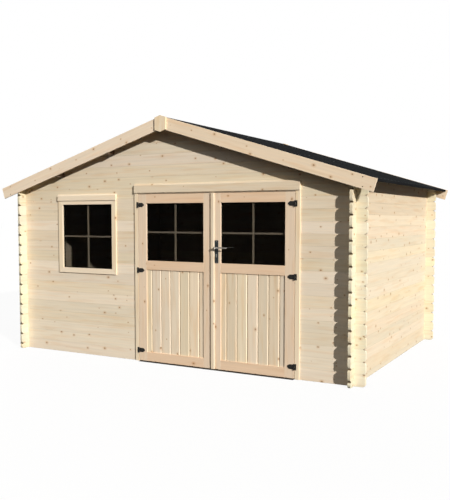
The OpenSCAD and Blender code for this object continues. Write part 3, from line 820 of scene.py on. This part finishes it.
class SHED_OT_stage(bpy.types.Operator):
    """Sets up the camera, the sun, a soft back light, the light overhead and the pale floor"""

    bl_idname = "shed.stage"
    bl_label = "Stage"

    def execute(self, context):
        stage = context.scene.shed_stage
        context.scene.view_settings.view_transform = "Standard"
        look = Vector(
            (
                -math.sin(stage.heading) * math.cos(stage.dip),
                math.cos(stage.heading) * math.cos(stage.dip),
                -math.sin(stage.dip),
            )
        )
        bpy.ops.object.camera_add(location=stage.camera, rotation=look.to_track_quat("-Z", "Y").to_euler())
        camera = context.active_object
        camera.name = "photo_camera"
        camera.data.lens = stage.lens
        camera.data.shift_y = stage.rise
        context.scene.camera = camera
        self.lamp("sun", stage.sun, stage.sun_strength, stage.sun_width, stage.sun_tint)
        self.lamp("back_light", stage.back, stage.back_strength, stage.back_width, stage.back_tint)
        self.sky(context, stage)
        self.floor(stage)
        return {"FINISHED"}

    def lamp(self, name, towards, strength, width, tint):
        """A lamp so far off that it shines from one direction."""
        towards = Vector(towards)
        bpy.ops.object.light_add(
            type="SUN", location=towards * LAMP_OFF, rotation=towards.to_track_quat("Z", "Y").to_euler()
        )
        lamp = bpy.context.active_object
        lamp.name = name
        lamp.data.energy = strength
        lamp.data.angle = width
        lamp.data.color = tint

    def sky(self, context, stage):
        """White to the camera and in reflections, and a soft light on the shed that grows overhead."""
        world = bpy.data.worlds.new("studio")
        world.use_nodes = True
        context.scene.world = world
        make = Nodes(world.node_tree)
        soft = make.tree.nodes["Background"]
        soft.inputs["Color"].default_value = tinted(stage.sky_tint)
        rise = make.parts(make.node("ShaderNodeTexCoord").outputs["Generated"])["Z"]
        overhead = make.calc("MAXIMUM", rise, 0.0)
        make.feed(soft.inputs["Strength"], make.scaled(overhead, stage.sky_strength))
        white = make.node("ShaderNodeBackground")
        white.inputs["Color"].default_value = (1.0, 1.0, 1.0, 1.0)
        shown = make.blend(make.seen_by_eye(), soft.outputs[0], white.outputs[0])
        make.feed(make.tree.nodes["World Output"].inputs["Surface"], shown)

    def floor(self, stage):
        """A wide floor, white to the camera apart from the shed's shadow, bare ground in the shed, and
        painted shade under the doors.
        """
        bpy.ops.object.select_all(action="DESELECT")
        bpy.ops.mesh.primitive_plane_add(size=stage.floor_w)
        floor = bpy.context.active_object
        floor.name = "floor"
        make = Finish("pale_floor")
        make.surface(tinted(stage.dim), 1.0, 0.0)
        pale = make.node("ShaderNodeBsdfDiffuse")
        pale.inputs["Color"].default_value = tinted(stage.pale)
        white = make.node("ShaderNodeEmission")
        white.inputs["Strength"].default_value = stage.glow
        shown = make.blend(stage.white_share, pale.outputs[0], white.outputs[0])
        around = make.blend(make.seen_by_eye(), make.shader.outputs[0], shown)
        x, y, _ = make.parts(make.object_place())
        room = make.scaled(make.within(x, -SIDE_X, SIDE_X), make.within(y, WALL_Y, -WALL_Y))
        doors = make.within(x, low("left_door_stiles").x, high("right_door_stiles").x)
        # Painted shade under the doors: the ground colour reaches a log's thickness in front of the doors
        painted_doorway_shade = make.scaled(doors, make.within(y, FACE_Y - LOG_T, 0.0))
        ground = make.node("ShaderNodeBsdfDiffuse")
        ground.inputs["Color"].default_value = tinted(stage.ground)
        whole = make.blend(make.calc("MAXIMUM", room, painted_doorway_shade), around, ground.outputs[0])
        make.feed(make.tree.nodes["Material Output"].inputs["Surface"], whole)
        floor.data.materials.append(make.material)


class SHED_OT_log_walls(bpy.types.Operator):
    """Planes the edges of every log, so that fine V joints show between the courses"""

    bl_idname = "shed.log_walls"
    bl_label = "Log walls"

    def execute(self, context):
        arris = context.scene.shed_sizes.arris
        for node in FRONT_LOGS:
            dressed(node, "logs", arris, "shed", "front_logs", "pine_logs")
        dressed("rear_wall", "logs", arris, "shed", "rear_logs", "pine_logs")
        for side in ("left", "right"):
            dressed(f"{side}_side_wall", "logs", arris, "shed", f"{side}_logs", "pine_logs")
        return {"FINISHED"}


class SHED_OT_roof_boards(bpy.types.Operator):
    """Boards the roof from the ridge to the eaves, and planes the purlins that carry it"""

    bl_idname = "shed.roof_boards"
    bl_label = "Roof boards and purlins"

    def execute(self, context):
        sizes = context.scene.shed_sizes
        width = roof_board_width()
        for side, name in ((-1, "left"), (1, "right")):
            board = slope_strip(
                f"roof_boards_{name}", side, (-sizes.roof_board_t, slope_length()),
                (-ROOF_Y, -ROOF_Y + width - sizes.fit), (0.0, sizes.roof_board_t)
            )
            ease(
                board, sizes.roof_groove,
                lambda a, b: max(a.z, b.z) < sizes.fit and abs(a.y - b.y) < sizes.fit,
            )
            row(board, (0.0, width, 0.0), round(2 * ROOF_Y / width))
            on_roof(board, side)
            cut(board, (0, 0, 0), (side, 0, 0), drop=True)
            settle(board, "shed", "roof_boards", "roof_boards", f"roof_deck_{name}")
        for node in ("ridge_beam", "roof_purlins"):
            dressed(node, "planed", sizes.arris, "shed", "purlins", "roof_boards")
        return {"FINISHED"}


class SHED_OT_roofing_felt(bpy.types.Operator):
    """Lays the felt in lapped strips, folds it over the eaves, caps the ridge and nails it"""

    bl_idname = "shed.roofing_felt"
    bl_label = "Roofing felt"

    def execute(self, context):
        sizes = context.scene.shed_sizes
        end = slope_length()
        depth = (-ROOF_Y, ROOF_Y)
        top = sizes.roof_board_t
        layer = sizes.felt_t
        for side, name in ((-1, "left"), (1, "right")):
            strips = []
            nails = []
            foot = end
            while foot > 0.0:
                head = max(foot - sizes.felt_roll, -top)
                past = sizes.felt_gap if foot == end else 0.0
                strip = slope_strip("felt", side, (head, foot + past), depth, (top, top + layer))
                if foot == end:
                    cut(strip, (side * end, 0, 0), (1, 0, 0))
                    extend(strip, lambda c, n: n.z < -FACING and abs(c.x) > end, (0, 0, -sizes.felt_fold))
                else:
                    shift(strip, lambda c, n: n.x * side > FACING, (0, 0, layer))
                strips.append(strip)
                nails.append(foot - sizes.clout_inset)
                foot = head + sizes.felt_lap if head > 0 else 0.0
            ridge = (top + layer, top + 2 * layer)
            strips.append(slope_strip("felt", side, (-top, sizes.ridge_felt), depth, ridge))
            nails.append(sizes.ridge_felt - sizes.clout_inset)
            felt = on_roof(joined(f"felt_{name}", strips), side)
            cut(felt, (0, 0, 0), (side, 0, 0), drop=True)
            ease(felt, layer * 0.3)
            settle(felt, "shed", "slate_felt", "roofing_felt", f"roof_felt_{name}")
            self.nail(name, side, nails, top + 2 * layer, sizes)
        return {"FINISHED"}

    def nail(self, name, side, rows, rise, sizes):
        """Rows of clout nails along the laps of one slope."""
        reach = 2 * (ROOF_Y - sizes.clout_inset)
        count = int(reach / sizes.clout_pitch) + 1
        pitch = reach / (count - 1)
        heads = []
        for run in rows:
            head = nail_head(sizes.clout_r, CLOUT_H)
            row(head, (0.0, pitch, 0.0), count)
            turned(head, 0.0, (side * run, sizes.clout_inset - ROOF_Y, rise - CLOUT_SINK))
            heads.append(head)
        clouts = on_roof(joined(f"clout_nails_{name}", heads), side)
        settle(clouts, "shed", "galvanised_nail", "black_iron")


class SHED_OT_barge_boards(bpy.types.Operator):
    """Planes the barge boards and the blocks over their joints, and screws the boards on"""

    bl_idname = "shed.barge_boards"
    bl_label = "Barge boards"

    def execute(self, context):
        sizes = context.scene.shed_sizes
        for end in ("front", "rear"):
            for side in ("left", "right"):
                dressed(f"{end}_barge_{side}", "board", sizes.arris, "shed", f"{side}_barge", "pine_trim")
            dressed(f"{end}_ridge_block", "board", sizes.arris, "shed", "upright_trim", "pine_trim")
            self.fix(end, sizes)
        return {"FINISHED"}

    def fix(self, end, sizes):
        """A pair of screws near the foot of each barge board."""
        near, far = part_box(f"{end}_barge_right")
        face = near.y if end == "front" else far.y
        slope = math.tan(sizes.roof_pitch)
        width = (far.z - near.z - far.x * slope) / math.cos(sizes.roof_pitch)
        x = (SIDE_X + high("roof_deck_right").x) / 2 - sizes.screw_r
        middle = far.z - width / 2 / math.cos(sizes.roof_pitch) - x * slope
        apart = 0.35 * width
        places = [(side * x, face, middle + way * apart) for side in (-1, 1) for way in (-1, 1)]
        looks = ("browned_screw", "black_iron", sizes.screw_r)
        screws(f"{end}_barge_screws", "shed", places, *looks, end == "rear")


class SHED_OT_window(bpy.types.Operator):
    """Frames the window with four mitred members, and adds its drip board, pane, bars and beads"""

    bl_idname = "shed.window"
    bl_label = "Window"

    def execute(self, context):
        sizes = context.scene.shed_sizes
        near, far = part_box("window_frame")
        pane_near, pane_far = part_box("window_pane")
        inner = {
            "left": pane_near.x - sizes.fit, "right": pane_far.x + sizes.fit,
            "low": pane_near.z - sizes.fit, "top": pane_far.z + sizes.fit,
        }
        lap = {
            "side": high("front_wall_left_of_window").x - near.x + sizes.fit,
            "low": high("front_wall_below_window").z - near.z + 2 * sizes.fit,
            "top": far.z - low("front_wall_over_window").z + sizes.fit,
        }
        for side, name in ((-1, "left"), (1, "right")):
            outer = near.x + lap["side"] if side < 0 else far.x - lap["side"]
            xs = sorted((outer, inner[name]))
            post = block(
                f"window_post_{name}",
                (xs[0], near.y, near.z + lap["low"]),
                (xs[1], far.y, far.z - lap["top"]),
            )
            self.lapped(post, (side * lap["side"], 0, 0), (0, 0, lap["top"]), (0, 0, -lap["low"]))
            cut(post, (inner[name], 0, inner["top"]), (side, 0, -1), drop=True)
            cut(post, (inner[name], 0, inner["low"]), (side, 0, 1), drop=True)
            ease(post, sizes.arris)
            settle(post, "shed", "upright_trim", "pine_trim")
        for side, name in ((-1, "low"), (1, "top")):
            outer = near.z + lap["low"] if side < 0 else far.z - lap["top"]
            zs = sorted((outer, inner[name]))
            rail = block(
                f"window_rail_{name}",
                (near.x + lap["side"], near.y, zs[0]),
                (far.x - lap["side"], far.y, zs[1]),
            )
            self.lapped(rail, (0, 0, side * lap[name]), (-lap["side"], 0, 0), (lap["side"], 0, 0))
            cut(rail, (inner["left"], 0, inner[name]), (1, 0, side), drop=True)
            cut(rail, (inner["right"], 0, inner[name]), (-1, 0, side), drop=True)
            ease(rail, sizes.arris)
            settle(rail, "shed", "level_trim", "pine_trim", "window_frame")
        dressed("window_drip", "board", sizes.arris, "shed", "level_trim", "pine_trim")
        glazing("window", "shed", "pine_trim")
        return {"FINISHED"}

    def lapped(self, member, *moves):
        """Draws the part of a member before the wall out over the logs."""
        cut(member, (0, WALL_Y, 0), (0, 1, 0))
        for move in moves:
            way = Vector(move).normalized()
            extend(member, lambda c, n: n.dot(way) > FACING and c.y < WALL_Y, move)


class SHED_OT_door_frame(bpy.types.Operator):
    """Planes the jambs, the head and the board over the doors"""

    bl_idname = "shed.door_frame"
    bl_label = "Door frame"

    def execute(self, context):
        arris = context.scene.shed_sizes.arris
        for node, finish in (
            ("door_jamb_left", "upright_trim"),
            ("door_jamb_right", "upright_trim"),
            ("door_head", "level_trim"),
            ("door_header_board", "level_cover"),
        ):
            dressed(node, "planed", arris, "shed", finish, "pine_trim")
        return {"FINISHED"}


class SHED_OT_door_leaves(bpy.types.Operator):
    """Makes the two doors: stiles, rails, grooved boards, panes, bars and the cover strip"""

    bl_idname = "shed.door_leaves"
    bl_label = "Doors"

    def execute(self, context):
        sizes = context.scene.shed_sizes
        for side in ("left", "right"):
            body = f"{side}_door"
            for part in ("stiles", "rails"):
                dressed(f"{body}_{part}", "planed", sizes.arris, body, part, "door_pine")
            self.boards(side, body, sizes)
            glazing(body, body, "door_pine")
        dressed("cover_strip", "planed", sizes.iron_arris, "right_door", "upright_cover", "pine_trim")
        return {"FINISHED"}

    def boards(self, side, body, sizes):
        """Boards with bevelled edges, the outer two cut to the width of the panel."""
        near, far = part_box(f"{body}_panel")
        middle = (near.x + far.x) / 2
        width = sizes.board_w
        outer = math.ceil(((far.x - near.x) / width - 1) / 2)
        made = []
        for i in range(-outer, outer + 1):
            left = max(near.x, middle + (i - 0.5) * width)
            right = min(far.x, middle + (i + 0.5) * width)
            board = block("board", (left, near.y, near.z), (right - sizes.fit / 3, far.y, far.z))
            ease(
                board,
                sizes.board_groove,
                lambda a, b: max(a.y, b.y) < near.y + sizes.fit and abs(a.x - b.x) < sizes.fit
                and near.x + sizes.fit < a.x < far.x - sizes.fit,
            )
            made.append(board)
        settle(joined(f"{body}_boards", made), body, f"{side}_boards", "door_pine", f"{body}_panel")


class SHED_OT_hinges(bpy.types.Operator):
    """Eases the edges of the hinges and screws them on"""

    bl_idname = "shed.hinges"
    bl_label = "Hinges"

    def execute(self, context):
        sizes = context.scene.shed_sizes
        for side in ("left", "right"):
            plates, straps = f"frame_hinges_{side}", f"{side}_door_straps"
            for node, body in ((plates, "shed"), (straps, f"{side}_door")):
                dressed(node, "iron", sizes.iron_arris, body, "black_iron", "black_iron")
            inward = 1 if side == "left" else -1
            tip = high(straps).x if side == "left" else low(straps).x
            edge = low(plates).x if side == "left" else high(plates).x
            on_door = []
            on_jamb = []
            for z in levels(straps):
                on_door.append((tip - inward * TIP_SCREW, PLATE_Y, z))
                for way in (-1, 1):
                    on_door.append((tip - inward * PAIR_SCREWS, PLATE_Y, z + way * PAIR_RISE))
                    on_jamb.append((edge + inward * PLATE_SCREWS, PLATE_Y, z + way * PLATE_RISE))
            looks = ("black_iron", "black_iron", sizes.iron_screw_r)
            screws(f"{side}_strap_screws", f"{side}_door", on_door, *looks)
            screws(f"{side}_plate_screws", "shed", on_jamb, *looks)
        return {"FINISHED"}


class SHED_OT_lock(bpy.types.Operator):
    """Finishes the lock plates, the lock cylinder and the lever"""

    bl_idname = "shed.lock"
    bl_label = "Lock"

    def execute(self, context):
        sizes = context.scene.shed_sizes
        steel = ("satin_steel", "satin_metal")
        for node in ("lock_plate_outside", "lock_plate_inside"):
            dressed(node, "eased", sizes.iron_arris, "right_door", "dark_plate", "lock_plate")
        dressed("lock_cylinder", "eased", sizes.iron_arris, "right_door", *steel)
        dressed("lever_handle", "round", 0.0, "lever", *steel)
        for place in ("outside", "inside"):
            near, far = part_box(f"lock_plate_{place}")
            face = near.y if place == "outside" else far.y
            middle = (near.x + far.x) / 2
            places = [(middle, face, far.z - LOCK_SCREW), (middle, face, near.z + LOCK_SCREW)]
            looks = (*steel, sizes.iron_screw_r)
            screws(f"lock_plate_screws_{place}", "right_door", places, *looks, place == "inside")
        self.keyway(sizes, steel)
        return {"FINISHED"}

    def keyway(self, sizes, steel):
        """The plug of the lock with its keyway, on the outer end of the cylinder."""
        near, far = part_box("lock_cylinder")
        middle = Vector(((near.x + far.x) / 2, near.y, far.z - (far.x - near.x) / 2))
        rise = sizes.keyway_w / 2
        centre = middle - Vector((0, rise / 2, 0))
        plug = disc("key_plug", 24, sizes.key_plug_r, rise, location=centre, rotation=(math.pi / 2, 0, 0))
        half_w, half_h = sizes.keyway_w / 2, sizes.keyway_h / 2
        for half, normal in ((half_w, Vector((1, 0, 0))), (half_h, Vector((0, 0, 1)))):
            for offset in (half, -half):
                cut(plug, middle + normal * offset, normal)
        extend(
            plug,
            lambda c, n: n.y < -FACING and abs(c.x - middle.x) < half_w and abs(c.z - middle.z) < half_h,
            (0, rise * 0.9, 0),
        )
        settle(plug, "right_door", *steel)


class SHED_PT_pieces(bpy.types.Panel):
    """Lists the pieces of the shed and their sizes and colours"""

    bl_label = "Garden shed"
    bl_idname = "SHED_PT_pieces"
    bl_space_type = "VIEW_3D"
    bl_region_type = "UI"
    bl_category = "Shed"

    def draw(self, context):
        for operator in OPERATORS:
            self.layout.operator(operator.bl_idname)
        for group in (context.scene.shed_sizes, context.scene.shed_colours, context.scene.shed_stage):
            column = self.layout.box().column()
            for key in group.__annotations__:
                column.prop(group, key)


OPERATORS = (
    SHED_OT_stage,
    SHED_OT_log_walls,
    SHED_OT_roof_boards,
    SHED_OT_roofing_felt,
    SHED_OT_barge_boards,
    SHED_OT_window,
    SHED_OT_door_frame,
    SHED_OT_door_leaves,
    SHED_OT_hinges,
    SHED_OT_lock,
)
CLASSES = (ShedSizes, ShedColours, ShedStage, *OPERATORS, SHED_PT_pieces)


def register():
    for cls in CLASSES:
        bpy.utils.register_class(cls)
    bpy.types.Scene.shed_sizes = PointerProperty(type=ShedSizes)
    bpy.types.Scene.shed_colours = PointerProperty(type=ShedColours)
    bpy.types.Scene.shed_stage = PointerProperty(type=ShedStage)


def unregister():
    del bpy.types.Scene.shed_stage
    del bpy.types.Scene.shed_colours
    del bpy.types.Scene.shed_sizes
    for cls in reversed(CLASSES):
        bpy.utils.unregister_class(cls)


def main():
    """Builds the shed in order."""
    register()
    make_finishes()
    bpy.ops.shed.stage()
    bpy.ops.shed.log_walls()
    bpy.ops.shed.roof_boards()
    bpy.ops.shed.roofing_felt()
    bpy.ops.shed.barge_boards()
    bpy.ops.shed.window()
    bpy.ops.shed.door_frame()
    bpy.ops.shed.door_leaves()
    bpy.ops.shed.hinges()
    bpy.ops.shed.lock()


if __name__ == "__main__":
    main()
